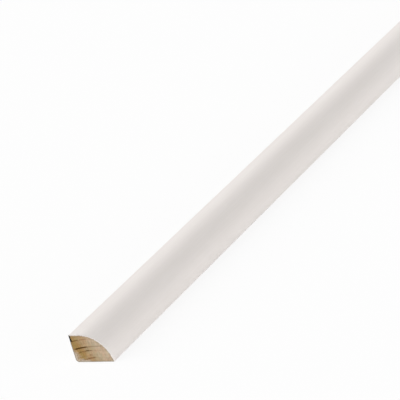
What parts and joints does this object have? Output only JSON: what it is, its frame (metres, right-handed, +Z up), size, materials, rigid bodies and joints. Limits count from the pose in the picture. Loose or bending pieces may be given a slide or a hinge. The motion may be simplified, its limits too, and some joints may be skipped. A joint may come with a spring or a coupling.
{
  "type": "base shoe moulding",
  "caption": "Straight stick of primed softwood trim with two flat faces and a rounded front, nailed along a floor to cover the gap under a baseboard",
  "frame": {"origin": "middle of the length and width, on the plane of the wide flat face, which lies on the floor", "axes": "+X along the stick, +Y out of the narrow flat face, so the rounded face looks to -Y, +Z up from the wide flat face"},
  "size_m": [2.4384, 0.019, 0.0127],
  "materials": {
    "primed_wood": "white primer, satin, with bare wood at the sawn ends"
  },
  "bodies": {
    "root": {"base_shoe": "primed_wood"}
  },
  "joints": []
}
